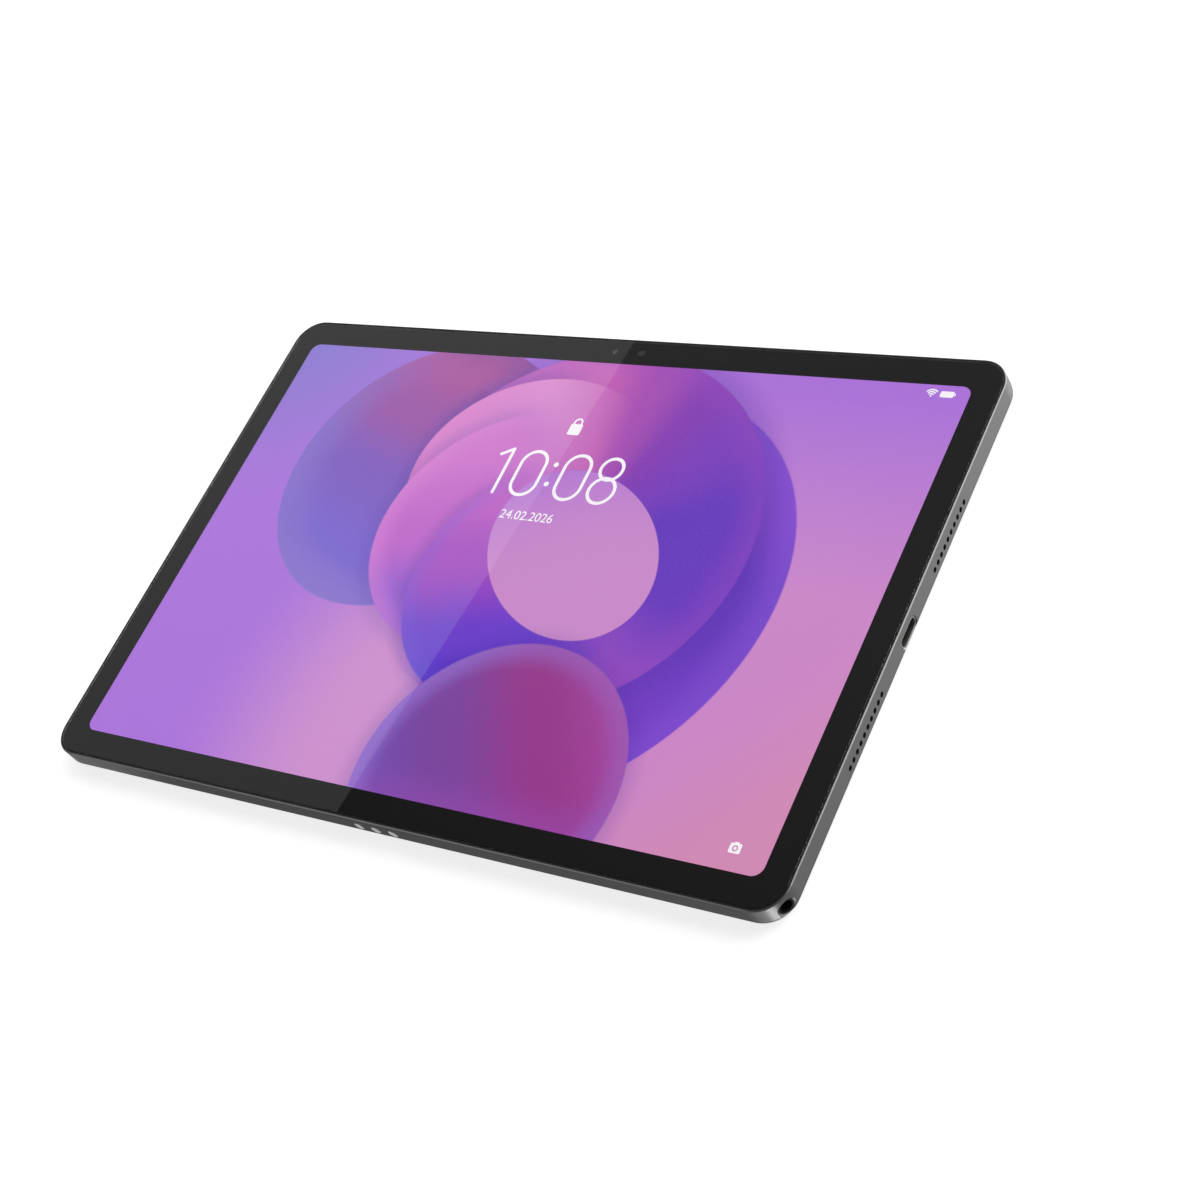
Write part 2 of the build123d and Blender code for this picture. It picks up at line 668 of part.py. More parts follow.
def usb_c_shell():
    """The drawn steel shell of the port, open at its mouth."""
    start = (USB_MOUTH - USB_DEPTH, 0, PORT_LEVEL)
    outer = pill(start, (1, 0, 0), USB_SHELL_LENGTH, USB_SHELL_HEIGHT, USB_DEPTH)
    start = (USB_MOUTH - USB_DEPTH + USB_SHELL_WALL, 0, PORT_LEVEL)
    inner = pill(start, (1, 0, 0), USB_SHELL_LENGTH - 2 * USB_SHELL_WALL,
                 USB_SHELL_HEIGHT - 2 * USB_SHELL_WALL, USB_DEPTH)
    return outer - inner


def usb_c_tongue():
    """The plastic tongue with its base, inside the shell."""
    back = USB_MOUTH - USB_DEPTH + USB_SHELL_WALL
    length = USB_SHELL_LENGTH - 2 * (USB_SHELL_WALL + TONGUE_CLEARANCE)
    height = USB_SHELL_HEIGHT - 2 * (USB_SHELL_WALL + TONGUE_CLEARANCE)
    base = pill((back, 0, PORT_LEVEL), (1, 0, 0), length, height, 1)
    level = (PORT_LEVEL - TONGUE_THICKNESS / 2, PORT_LEVEL + TONGUE_THICKNESS / 2)
    return base + block((back, back + TONGUE_LENGTH), (-TONGUE_WIDTH / 2, TONGUE_WIDTH / 2), level)


def usb_board():
    """The board with a notch that the port sits in."""
    level = (BOARD_BOTTOM, BOARD_TOP)
    board = block((84, 119.7), (-14, 14), level) + block((119.7, 125.4), (-8.5, 8.5), level)
    board -= block((119.6, 125.4), (-4.6, 4.6), level)
    radius = SCREW_HOLE_RADIUS + SCREW_CLEARANCE
    return board - [post(centre, radius, *level) for centre in USB_BOARD_SCREWS]


def headphone_jack():
    """The socket: a moulded body with a nose that fills the hole in the corner."""
    face = Plane(jack_point(JACK_FRONT), x_dir=(0, 0, 1), z_dir=JACK_OUT)
    body = extrude(face * Rectangle(JACK_BODY_HEIGHT, JACK_BODY_WIDTH), -JACK_BODY_LENGTH)
    body += rod(jack_point(JACK_FRONT), JACK_OUT, JACK_NOSE_RADIUS, JACK_NOSE - JACK_FRONT)
    bore_end = JACK_FRONT - JACK_BODY_LENGTH + JACK_END_WALL
    bore = rod(jack_point(bore_end), JACK_OUT, JACK_BORE_RADIUS, 2 * JACK_BODY_LENGTH)
    return body - bore - jack_contact_slots()


def jack_contact_slots():
    """Slots in the socket's side walls for its four springs."""
    slots = []
    for distance, side in JACK_SPRINGS:
        face = jack_side_plane(distance, side)
        slots.append(extrude(face * Rectangle(2.2, 1.0), 1.1))
    return slots


def jack_side_plane(distance, side):
    """A plane on one side of the bore, facing outward from it."""
    across = Vector(-JACK_OUT[1], JACK_OUT[0], 0) * side
    start = Vector(*jack_point(distance)) + across * (JACK_BORE_RADIUS - 0.1)
    return Plane(start, x_dir=JACK_OUT, z_dir=across)


def headphone_springs():
    """Four gilt leaf springs in the slots, just clear of the bore."""
    leaves = []
    for distance, side in JACK_SPRINGS:
        face = jack_side_plane(distance, side).offset(0.13)
        leaves.append(extrude(face * Rectangle(2.0, 0.8), 0.2))
    return Compound(leaves)


def headphone_flex():
    """The ribbon from the headphone jack to the USB board."""
    level = (LOWER_FLEX_LEVEL, LOWER_FLEX_LEVEL + FLEX_THICKNESS)
    return block((92, 113.8), (-72, -68), level) + block((92, 96), (-72, -10), level)


def contact_block():
    """The insulating block with a collar round each accessory contact."""
    block_y = (-INNER_Y + 0.05, -INNER_Y + 2.2)
    body = block((-9.5, 9.5), block_y, (0.85, 4.35))
    for x in contact_positions():
        body += rod((x, block_y[0], PORT_LEVEL), (0, -1, 0), CONTACT_COLLAR_RADIUS, WALL - 0.1)
        body -= rod((x, block_y[0], PORT_LEVEL), (0, -1, 0), CONTACT_RADIUS + 0.02, WALL)
        body -= rod((x, block_y[0], PORT_LEVEL), (0, 1, 0), CONTACT_TAIL_RADIUS + 0.05, 1.6)
    return body


def accessory_contacts():
    """Three dished contact pads with their tails."""
    pads = []
    for x in contact_positions():
        start = (x, -INNER_Y + 0.05, PORT_LEVEL)
        thickness = WALL + 0.05 - CONTACT_RECESS
        pad = rod(start, (0, -1, 0), CONTACT_RADIUS, thickness)
        pads.append(pad + rod(start, (0, 1, 0), CONTACT_TAIL_RADIUS, 1.5))
    return Compound(pads)


def contact_flex():
    """The ribbon from the accessory contacts to the main board."""
    level = (LOWER_FLEX_LEVEL, LOWER_FLEX_LEVEL + FLEX_THICKNESS)
    return block((-3, 3), (-79.55, -73.5), level) + block((-90, 3), (-76, -73.5), level)


# ---------------------------------------------------------------- keys and card tray

def power_button():
    """The key with a flange that keeps it behind the wall."""
    start = (-(INNER_X - 0.3), POWER_KEY_Y, KEY_LEVEL)
    cap = pill(start, (-1, 0, 0), POWER_KEY_LENGTH, KEY_HEIGHT, WALL + KEY_PROUD + 0.3)
    cap = fillet(cap.faces().sort_by(Axis.X)[0].edges(), KEY_EDGE_FILLET)
    start = (-(INNER_X - 0.6), POWER_KEY_Y, KEY_LEVEL)
    length, height = POWER_KEY_LENGTH + KEY_FLANGE[0], KEY_HEIGHT + KEY_FLANGE[1]
    return cap + pill(start, (-1, 0, 0), length, height, 0.5)


def power_switch():
    """The switch behind the power key, on its bracket."""
    y = POWER_KEY_Y
    bracket = block((-124.3, -124.0), (y - 7, y + 7), (FLOOR + 0.05, 5.2))
    foot = block((-124.0, -121.2), (y - 7, y + 7), (FLOOR + 0.05, FLOOR + 0.35))
    body = block((-125.0, -124.3), (y - 1.75, y + 1.75), (KEY_LEVEL - 1.3, KEY_LEVEL + 1.3))
    return bracket + foot + body + rod((-125.0, y, KEY_LEVEL), (-1, 0, 0), 0.8, 0.1)


def volume_rocker():
    """The long key that rocks about its middle."""
    start = (VOLUME_KEY_X, INNER_Y - 0.4, KEY_LEVEL)
    cap = pill(start, (0, 1, 0), VOLUME_KEY_LENGTH, KEY_HEIGHT, WALL + KEY_PROUD + 0.4)
    cap = fillet(cap.faces().sort_by(Axis.Y)[-1].edges(), KEY_EDGE_FILLET)
    start = (VOLUME_KEY_X, INNER_Y - 0.75, KEY_LEVEL)
    length, height = VOLUME_KEY_LENGTH + KEY_FLANGE[0], KEY_HEIGHT + KEY_FLANGE[1]
    return cap + pill(start, (0, 1, 0), length, height, 0.45)


def volume_switches():
    """Two switches and the pivot rib behind the volume key, on one bracket."""
    x, y = VOLUME_KEY_X, 79.8
    holder = block((x - 12, x + 12), (y - 0.3, y), (FLOOR + 0.05, 5.0))
    holder += block((x - 12, x + 12), (y - 2.6, y - 0.3), (FLOOR + 0.05, FLOOR + 0.35))
    holder += block((x - 0.6, x + 0.6), (y, y + 1.15), (KEY_LEVEL - 0.6, KEY_LEVEL + 0.6))
    for spot in (x - 7, x + 7):
        holder += block((spot - 1.75, spot + 1.75), (y, y + 0.8), (KEY_LEVEL - 1.3, KEY_LEVEL + 1.3))
        holder += rod((spot, y + 0.8, KEY_LEVEL), (0, 1, 0), 0.8, 0.15)
    return holder


def card_tray():
    """The memory card tray: a face flush with the side, and a bed with a card-shaped recess."""
    face = pill((TRAY_X, INNER_Y + 0.1, KEY_LEVEL), (0, 1, 0), TRAY_FACE_LENGTH,
                TRAY_FACE_HEIGHT, WALL - 0.1)
    half = TRAY_BED_WIDTH / 2
    bed = block((TRAY_X - half, TRAY_X + half), (TRAY_BED_END, INNER_Y + 0.1), TRAY_BED_LEVEL)
    recess = slab(*CARD_RECESS, CARD_FLOOR, TRAY_BED_LEVEL[1], (TRAY_X, CARD_Y))
    start = (TRAY_X - PIN_HOLE_OFFSET, INNER_Y, KEY_LEVEL)
    return face + bed - recess - rod(start, (0, 1, 0), PIN_HOLE_RADIUS, 2)


def card_reader():
    """The steel sleeve on the main board that the tray slides into."""
    sleeve = block((TRAY_X - 7.3, TRAY_X + 7.3), (63.5, 80.8), (2.42, 4.3))
    return sleeve - block((TRAY_X - 7.0, TRAY_X + 7.0), (63.8, 81), (2.6, 4.12))


# ---------------------------------------------------------------- the finished set

SINGLE_PIECES = [
    rear_housing, cover_glass, glass_frame, glass_border, display_adhesive, display_panel,
    backlight, backlight_led_bar, driver_flex, display_board, mid_plate, plate_screws,
    board_screws, battery_adhesive, battery_protection_board, battery_flex, main_board,
    processor_shield, power_shield, radio_shield, chips, graphite_sheet, display_flex, main_flex,
    microphone, radio_antennas, camera_island, camera_ring, camera_lens_cover, rear_camera_gasket,
    rear_camera_module, rear_camera_lens, rear_camera_flex, front_camera_module,
    front_camera_lens, light_sensor, usb_c_shell, usb_c_tongue, usb_board, headphone_jack,
    headphone_springs, headphone_flex, contact_block, accessory_contacts, contact_flex,
    power_button, power_switch, volume_rocker, volume_switches, card_tray, card_reader,
]


def all_pieces():
    """Each piece's name and its solid."""
    pieces = {make.__name__: make() for make in SINGLE_PIECES}
    pieces["battery_cell_left"] = battery_cell(-1)
    pieces["battery_cell_right"] = battery_cell(1)
    for place, (side, row) in SPEAKERS.items():
        pieces[f"speaker_box_{place}"] = speaker_box(side, row)
    places = SPEAKERS.values()
    pieces["speaker_drivers"] = Compound([speaker_driver(*place) for place in places])
    pieces["speaker_meshes"] = Compound([speaker_mesh(*place) for place in places])
    return pieces


os.makedirs("parts", exist_ok=True)
for name, piece in all_pieces().items():
    export_step(Pos(0, 0, LIFT) * piece, f"parts/{name}.step")
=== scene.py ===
"""Looks for the tablet computer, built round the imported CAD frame. Blender 4.5."""

import math

import bmesh
import bpy
from mathutils import Matrix, Vector


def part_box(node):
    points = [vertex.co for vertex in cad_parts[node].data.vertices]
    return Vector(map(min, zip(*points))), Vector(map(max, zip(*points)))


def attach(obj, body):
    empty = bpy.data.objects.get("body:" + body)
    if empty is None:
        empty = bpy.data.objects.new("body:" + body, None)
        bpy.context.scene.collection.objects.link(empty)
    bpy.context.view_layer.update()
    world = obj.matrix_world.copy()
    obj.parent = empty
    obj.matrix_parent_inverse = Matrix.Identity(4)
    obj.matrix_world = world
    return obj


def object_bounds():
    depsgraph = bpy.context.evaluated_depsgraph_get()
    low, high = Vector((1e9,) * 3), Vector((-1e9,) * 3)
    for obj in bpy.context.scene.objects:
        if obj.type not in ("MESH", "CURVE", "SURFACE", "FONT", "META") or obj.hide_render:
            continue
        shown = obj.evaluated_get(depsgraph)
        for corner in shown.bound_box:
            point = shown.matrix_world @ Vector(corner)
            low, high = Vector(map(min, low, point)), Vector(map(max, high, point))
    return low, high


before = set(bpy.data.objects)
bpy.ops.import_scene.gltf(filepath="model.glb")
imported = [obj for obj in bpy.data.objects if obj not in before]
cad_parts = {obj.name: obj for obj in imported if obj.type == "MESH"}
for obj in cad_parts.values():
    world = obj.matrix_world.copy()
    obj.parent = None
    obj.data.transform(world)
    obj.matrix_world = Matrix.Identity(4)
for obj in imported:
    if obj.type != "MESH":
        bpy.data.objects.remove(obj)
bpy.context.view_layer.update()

MM = 0.001
WELD = 1e-7             # points nearer than this are one
GLASS_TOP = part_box("cover_glass")[1].z
PANEL_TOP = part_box("display_panel")[1].z


# ---------------------------------------------------------------- building materials from nodes

def linear(red, green, blue):
    """A display colour from 0 to 255 as linear values."""
    return tuple(((c / 255 + 0.055) / 1.055) ** 2.4 if c > 10.3 else c / 255 / 12.92
                 for c in (red, green, blue))


class Look:
    """A material made of nodes round one Principled shader."""

    def __init__(self, name, **sockets):
        self.material = bpy.data.materials.new(name)
        self.material.use_nodes = True
        self.tree = self.material.node_tree
        self.shader = self.tree.nodes["Principled BSDF"]
        self.set(**sockets)

    def set(self, **sockets):
        """Sets or links the shader's sockets; Base_Color stands for Base Color."""
        for name, value in sockets.items():
            self.put(self.shader.inputs[name.replace("_", " ")], value)

    def put(self, socket, value):
        """Links a socket to another, or gives it a fixed value."""
        if isinstance(value, bpy.types.NodeSocket):
            self.tree.links.new(value, socket)
        elif socket.type == "RGBA":
            socket.default_value = (*value, 1.0)
        else:
            socket.default_value = value

    def add(self, kind, inputs=(), **settings):
        """A node with its settings, and its inputs by number or name."""
        node = self.tree.nodes.new(kind)
        for name, value in settings.items():
            setattr(node, name, value)
        for key, value in dict(inputs).items():
            self.put(node.inputs[key], value)
        return node

    def maths(self, operation, *values, clamp=False):
        return self.add("ShaderNodeMath", enumerate(values), operation=operation,
                        use_clamp=clamp).outputs[0]

    def place(self):
        """The point on the piece, in millimetres."""
        here = self.add("ShaderNodeTexCoord").outputs["Object"]
        return self.add("ShaderNodeVectorMath", {0: here, 3: 1 / MM},
                        operation="SCALE").outputs[0]

    def split(self, vector):
        return self.add("ShaderNodeSeparateXYZ", {0: vector}).outputs

    def stretch(self, vector, factors):
        return self.add("ShaderNodeVectorMath", {0: vector, 1: factors},
                        operation="MULTIPLY").outputs[0]

    def noise(self, vector, scale, detail=2.0, roughness=0.5):
        node = self.add("ShaderNodeTexNoise", {"Vector": vector, "Scale": scale,
                                               "Detail": detail, "Roughness": roughness})
        return node.outputs["Fac"]

    def cells(self, vector, scale):
        """The distance to the nearest of many scattered points."""
        node = self.add("ShaderNodeTexVoronoi", {"Vector": vector, "Scale": scale})
        return node.outputs["Distance"]

    def span(self, value, low, high, to_low=0.0, to_high=1.0, kind="SMOOTHSTEP"):
        """Maps a range of a value onto another, and keeps to it."""
        node = self.add("ShaderNodeMapRange", {0: value, 1: low, 2: high, 3: to_low, 4: to_high},
                        interpolation_type=kind)
        return node.outputs[0]

    def mix(self, share, first, second):
        """The first colour at share 0, the second at share 1."""
        node = self.add("ShaderNodeMix", data_type="RGBA")
        for socket, value in zip((node.inputs[0], node.inputs[6], node.inputs[7]),
                                 (share, first, second)):
            self.put(socket, value)
        return node.outputs[2]

    def ramp(self, share, stops):
        """A colour ramp through stops of (place, colour)."""
        node = self.add("ShaderNodeValToRGB", {0: share})
        elements = node.color_ramp.elements
        while len(elements) < len(stops):
            elements.new(0.5)
        for element, (place, colour) in zip(elements, stops):
            element.position = place
            element.color = (*colour, 1.0)
        node.color_ramp.interpolation = "EASE"
        return node.outputs[0]

    def bump(self, height, depth, strength=1.0):
        """A relief whose full height is depth, in millimetres."""
        node = self.add("ShaderNodeBump", {"Height": height, "Distance": depth * MM,
                                           "Strength": strength})
        self.put(self.shader.inputs["Normal"], node.outputs[0])


def grey(value, warmth=0.0):
    """A linear grey, reddish if warmth is above 0."""
    return (value * (1 + warmth), value, value * (1 - warmth))


def greys(first, second, warmth=0.0):
    """Two greys to mix."""
    return grey(first, warmth), grey(second, warmth)


def blasted_metal(name, shade, roughness, grain):
    """Bead-blasted and anodised aluminium: fine grain, faint clouds and small changes of gloss."""
    look = Look(name, Metallic=1.0)
    here = look.place()
    fine = look.noise(here, 9.0, 3.0, 0.7)
    cloud = look.noise(here, 0.035, 2.0)
    mixed = look.maths("MULTIPLY_ADD", fine, grain, look.maths("MULTIPLY", cloud, 0.10))
    share = look.maths("ADD", mixed, 0.45, clamp=True)
    look.set(Base_Color=look.mix(share, *greys(shade * 0.72, shade * 1.28)),
             Roughness=look.span(fine, 0.25, 0.75, roughness - 0.04, roughness + 0.05, "LINEAR"))
    look.bump(fine, 0.012, 0.5)
    return look


def grained(name, noise, tones, gloss=None, spread=(0.3, 0.7), relief=None, **sockets):
    """Two tones, a range of roughness and a relief that all follow one noise."""
    look = Look(name, **sockets)
    grain = look.noise(look.place(), *noise)
    look.set(Base_Color=look.mix(grain, *tones))
    if gloss:
        look.set(Roughness=look.span(grain, *spread, *gloss, "LINEAR"))
    if relief:
        look.bump(grain, *relief)
    return look


# ---------------------------------------------------------------- the picture on the display

# Colours here are display values from 0 to 255, and places are millimetres on the screen.
GLASS_SHARE = 0.93      # the part of the picture's light that passes the glass
GLOSS_RIGHT = 0.012     # the light that the glass adds where it reflects the dark of the room
GLOSS_LEFT = 0.040      # and where it reflects the left box
SHADOW = (74, 34, 160)
OPENING = (20, 8, 34, 24, -35)      # centre, half axes and turn of the rings' opening


def picture_look():
    """The lit picture: a violet to pink ground, soft balls and two soft rings."""
    look = Look("display_picture", Base_Color=(0, 0, 0), Roughness=0.35, Emission_Strength=1.0,
                Specular_IOR_Level=0.1)
    x, y, _ = look.split(look.place())
    m = look.maths

    def line(along_x, along_y, offset=0.0):
        """A value that grows steadily across the picture."""
        return m("ADD", m("MULTIPLY_ADD", x, along_x, offset), m("MULTIPLY", y, along_y))

    def reach(cx, cy, rx, ry=None, turn=0.0):
        """Distance from an ellipse's centre, 1 on its edge."""
        ry = ry or rx
        c, s = math.cos(math.radians(turn)), math.sin(math.radians(turn))
        along = line(c / rx, s / rx, -(cx * c + cy * s) / rx)
        across = line(-s / ry, c / ry, (cx * s - cy * c) / ry)
        return m("SQRT", m("ADD", m("MULTIPLY", along, along), m("MULTIPLY", across, across)))

    def inside(distance, size, edge=0.35):
        """1 inside an outline, 0 outside, with an edge that is a little soft."""
        return look.span(distance, 1 + edge / size, 1 - edge / size)

    def blend(first, second, share, amount=1.0):
        """The first colour, covered by part of the second."""
        return look.mix(m("MULTIPLY", share, amount) if amount != 1.0 else share, first, second)

    def seen(red, green, blue, gloss=GLOSS_RIGHT):
        """The light that shows as this colour behind glass with this much gloss on it."""
        return tuple(max(c - gloss, 0.0) / GLASS_SHARE for c in linear(red, green, blue))

    def far(red, green, blue):
        """The same where the glass reflects the left box."""
        return seen(red, green, blue, GLOSS_LEFT)

    def slope(way, low, high, stops):
        """A ramp of colours that runs one way across the picture."""
        return look.ramp(look.span(line(*way), low, high, kind="LINEAR"), stops)

    def lobe(below, outline, size, tone, rim, rim_share, hole, fade=None, shadow=0.35):
        """One soft disc with a hole, a lit rim and a soft shadow on what lies below it."""
        body = m("MULTIPLY", inside(outline, size), hole)
        dark = m("MULTIPLY", look.span(outline, 1.16, 0.98), hole)
        if fade is not None:
            body, dark = m("MULTIPLY", body, fade), m("MULTIPLY", dark, fade)
        below = blend(below, seen(*SHADOW), m("MULTIPLY", dark, shadow))
        tone = blend(tone, rim, look.span(outline, 0.80, 1.0), rim_share)
        return blend(below, tone, body)

    # ground
    pink = slope((0.5, -0.5), 20, 92, [(0.0, far(205, 143, 205)), (0.5, seen(202, 132, 198)),
                                       (1.0, seen(208, 136, 179))])
    violet = blend(far(169, 112, 218), seen(168, 108, 214), look.span(x, -20, 60))
    violet = blend(violet, far(136, 116, 207), look.span(reach(-122, 82, 76), 1.0, 0.1))
    low = m("MULTIPLY", look.span(y, 68, 4, kind="LINEAR"), look.span(x, 34, 72))
    ground = blend(violet, pink, m("MAXIMUM", look.span(reach(40, -60, 1), 128, 66), low))

    # upper left ball
    ball = reach(-49, 29, 48)
    shade = slope((0.30, 0.95), -40, 62, [(0.0, far(150, 130, 214)), (0.2, far(120, 98, 205)),
                                          (0.45, far(124, 88, 190)), (0.68, far(152, 80, 165)),
                                          (0.86, far(168, 80, 156)), (1.0, far(146, 74, 152))])
    rim = m("MULTIPLY", look.span(ball, 0.62, 1.0), look.span(line(-1, -0.7), -10, 80))
    shade = blend(shade, far(134, 112, 200), rim, 0.8)
    opening = reach(*OPENING)
    hole = m("SUBTRACT", 1.0, inside(opening, 30))
    picture = blend(ground, shade, m("MULTIPLY", inside(ball, 48), hole))

    # far disc: indigo, at the right
    outline = reach(22.5, -4, 70.5, 66, 55)
    tone = slope((0.35, 0.9), -62, 62, [(0.0, seen(126, 68, 204)), (0.35, seen(112, 54, 194)),
                                        (0.75, seen(98, 46, 186)), (1.0, seen(128, 58, 196))])
    picture = lobe(picture, outline, 68, tone, seen(132, 78, 212), 0.5, hole,
                   look.span(x, 0, 30), 0.0)

    # near disc: magenta above, indigo at the right
    outline = reach(12, 17, 65, 60, -32)
    angle = m("ARCTAN2", line(0, 1, -9), line(1, 0, -18))
    around = look.span(angle, -math.pi, math.pi, kind="LINEAR")
    tone = look.ramp(around, [(0.0, seen(150, 84, 200)), (0.14, seen(96, 62, 206)),
                              (0.24, seen(120, 52, 184)), (0.36, seen(146, 70, 188)),
                              (0.46, seen(96, 46, 186)), (0.56, seen(90, 42, 184)),
                              (0.64, seen(114, 48, 182)), (0.69, seen(124, 46, 174)),
                              (0.745, seen(160, 68, 174)), (0.80, far(203, 102, 182)),
                              (1.0, far(212, 128, 206))])
    ridge = look.span(m("SUBTRACT", opening, outline), 0.0, 0.9)
    tone = blend(tone, seen(84, 40, 186), m("SUBTRACT", 1.0, ridge), 0.35)
    threads = m("SINE", m("MULTIPLY", m("SUBTRACT", opening, m("MULTIPLY", outline, 0.4)), 330))
    tone = blend(tone, seen(206, 120, 226), look.span(threads, 0.2, 1.0), 0.11)
    picture = lobe(picture, outline, 62, tone, seen(150, 66, 190), 0.35, hole,
                   look.span(line(1, 0.5), -42, -8))

    # three pink to violet lobes at the left
    outline = reach(-8, 31, 43, 36, -10)
    tone = slope((0.6, 0.8), -20, 60, [(0.0, far(196, 108, 196)), (0.5, far(212, 130, 204)),
                                       (1.0, far(222, 150, 214))])
    picture = lobe(picture, outline, 40, tone, far(226, 140, 204), 0.4, hole,
                   look.span(line(1, 0.2), 30, -8))

    outline = reach(-6, 13, 45.5, 42, 0)
    tone = slope((-0.25, 0.97), -30, 48, [(0.0, far(112, 84, 206)), (0.3, far(150, 92, 206)),
                                          (0.6, far(190, 100, 200)), (1.0, far(206, 118, 204))])
    picture = lobe(picture, outline, 42, tone, far(216, 134, 214), 0.45, hole,
                   look.span(line(1, 0.6), 30, 2), 0.25)

    outline = reach(9, -3, 38.5, 40, 20)
    tone = slope((-0.2, 0.98), -42, 36, [(0.0, far(84, 62, 204)), (0.25, far(112, 72, 204)),
                                         (0.6, far(168, 82, 194)), (1.0, far(202, 104, 196))])
    picture = lobe(picture, outline, 38, tone, far(120, 96, 214), 0.3, hole,
                   look.span(line(1, 0.9), 34, 0), 0.3)

    # lower ball
    ball = reach(28, -64, 42.4)
    shade = slope((0.8, 0.45), -42, 52, [(0.0, seen(118, 84, 178, 0.03)),
                                         (0.26, seen(120, 64, 156)), (0.55, seen(148, 50, 138)),
                                         (0.78, seen(160, 62, 154)), (1.0, seen(146, 78, 188))])
    shade = blend(shade, seen(150, 74, 176), look.span(y, -62, -76), 0.45)
    rim = m("MULTIPLY", look.span(ball, 0.78, 1.0), look.span(line(-1, -0.3), -60, 30, 0.35, 1.0))
    shade = blend(shade, seen(146, 108, 206), rim, 0.7)
    picture = lobe(picture, ball, 42, shade, seen(150, 108, 206), 0.12, 1.0, None, 0.25)

    look.set(Emission_Color=picture)
    return look


# ---------------------------------------------------------------- all the materials

def glossy_island():
    """The same metal under a clear coat."""
    look = blasted_metal("glossy_island", 0.26, 0.34, 0.12)
    look.set(Coat_Weight=1.0, Coat_Roughness=0.03)
    return look


def clear_glass():
    look = Look("clear_cover_glass", Transmission_Weight=1.0, Roughness=0.0, IOR=1.5)
    haze = look.noise(look.place(), 0.02, 3.0)
    look.set(Base_Color=look.mix(haze, (0.985, 0.992, 0.995), (1, 1, 1)))
    return look


def lens_window():
    look = Look("lens_window_glass", Base_Color=(0.55, 0.56, 0.6), Transmission_Weight=1.0,
                IOR=1.5)
    smudge = look.noise(look.place(), 0.4, 2.0)
    look.set(Roughness=look.span(smudge, 0.3, 0.7, 0.0, 0.03, "LINEAR"))
    return look


def lit_white():
    look = Look("lit_white", Base_Color=(0, 0, 0), Roughness=0.4, Emission_Strength=1.0)
    soft = look.noise(look.place(), 0.2, 1.0)
    look.set(Emission_Color=look.mix(soft, linear(246, 240, 250), linear(255, 255, 255)))
    return look


def foam_tape():
    look = Look("black_foam_tape", Roughness=0.9, Specular_IOR_Level=0.2)
    pores = look.cells(look.place(), 4.0)
    look.set(Base_Color=look.mix(pores, *greys(0.006, 0.022)))
    look.bump(pores, 0.05, 0.7)
    return look


def optical_film():
    look = Look("optical_film", Roughness=0.35)
    sheen = look.noise(look.stretch(look.place(), (0.02, 1.0, 1.0)), 1.2, 2.0)
    look.set(Base_Color=look.mix(sheen, (0.74, 0.75, 0.76), (0.88, 0.89, 0.89)))
    return look


def polyimide_flex():
    """Amber film with slanting tracks."""
    look = Look("polyimide_flex", Specular_IOR_Level=0.5)
    x, y, _ = look.split(look.place())
    tracks = look.maths("PINGPONG", look.maths("ADD", x, y), 0.35)
    share = look.span(tracks, 0.16, 0.2)
    look.set(Base_Color=look.mix(share, (0.42, 0.17, 0.03), (0.62, 0.30, 0.07)),
             Roughness=look.span(share, 0, 1, 0.28, 0.42, "LINEAR"))
    look.bump(share, 0.012, 0.5)
    return look


def pressed_steel():
    look = Look("pressed_steel", Metallic=1.0)
    brush = look.noise(look.stretch(look.place(), (0.3, 6.0, 6.0)), 2.0, 3.0)
    look.set(Base_Color=look.mix(brush, *greys(0.48, 0.66, 0.01)),
             Roughness=look.span(brush, 0.25, 0.75, 0.26, 0.42, "LINEAR"))
    look.bump(brush, 0.008, 0.5)
    return look


def solder_mask():
    """Green lacquer over rows of tracks, with scattered gilt pads."""
    look = Look("solder_mask", Coat_Weight=0.5, Coat_Roughness=0.15)
    here = look.place()
    x, y, _ = look.split(here)
    rows = look.span(look.maths("PINGPONG", x, 0.8), 0.62, 0.7)
    lines = look.span(look.maths("PINGPONG", y, 0.5), 0.36, 0.42)
    pads = look.span(look.cells(here, 0.35), 0.30, 0.22)
    copper = look.maths("MULTIPLY", look.maths("MAXIMUM", rows, lines), 0.5)
    base = look.mix(copper, (0.006, 0.045, 0.028), (0.016, 0.100, 0.060))
    look.set(Base_Color=look.mix(pads, base, (0.50, 0.36, 0.14)), Roughness=0.4,
             Metallic=look.maths("MULTIPLY", pads, 0.9))
    look.bump(look.maths("ADD", copper, pads), 0.02, 0.5)
    return look


def dust_mesh():
    """A fine woven cloth, whose threads run along y and z."""
    look = Look("woven_dust_mesh", Roughness=0.7)
    _, y, z = look.split(look.place())
    weave = look.maths("MULTIPLY", look.maths("SINE", look.maths("MULTIPLY", y, 42)),
                       look.maths("SINE", look.maths("MULTIPLY", z, 42)))
    look.set(Base_Color=look.mix(look.span(weave, -0.2, 0.9), *greys(0.002, 0.020)))
    look.bump(weave, 0.03, 0.8)
    return look


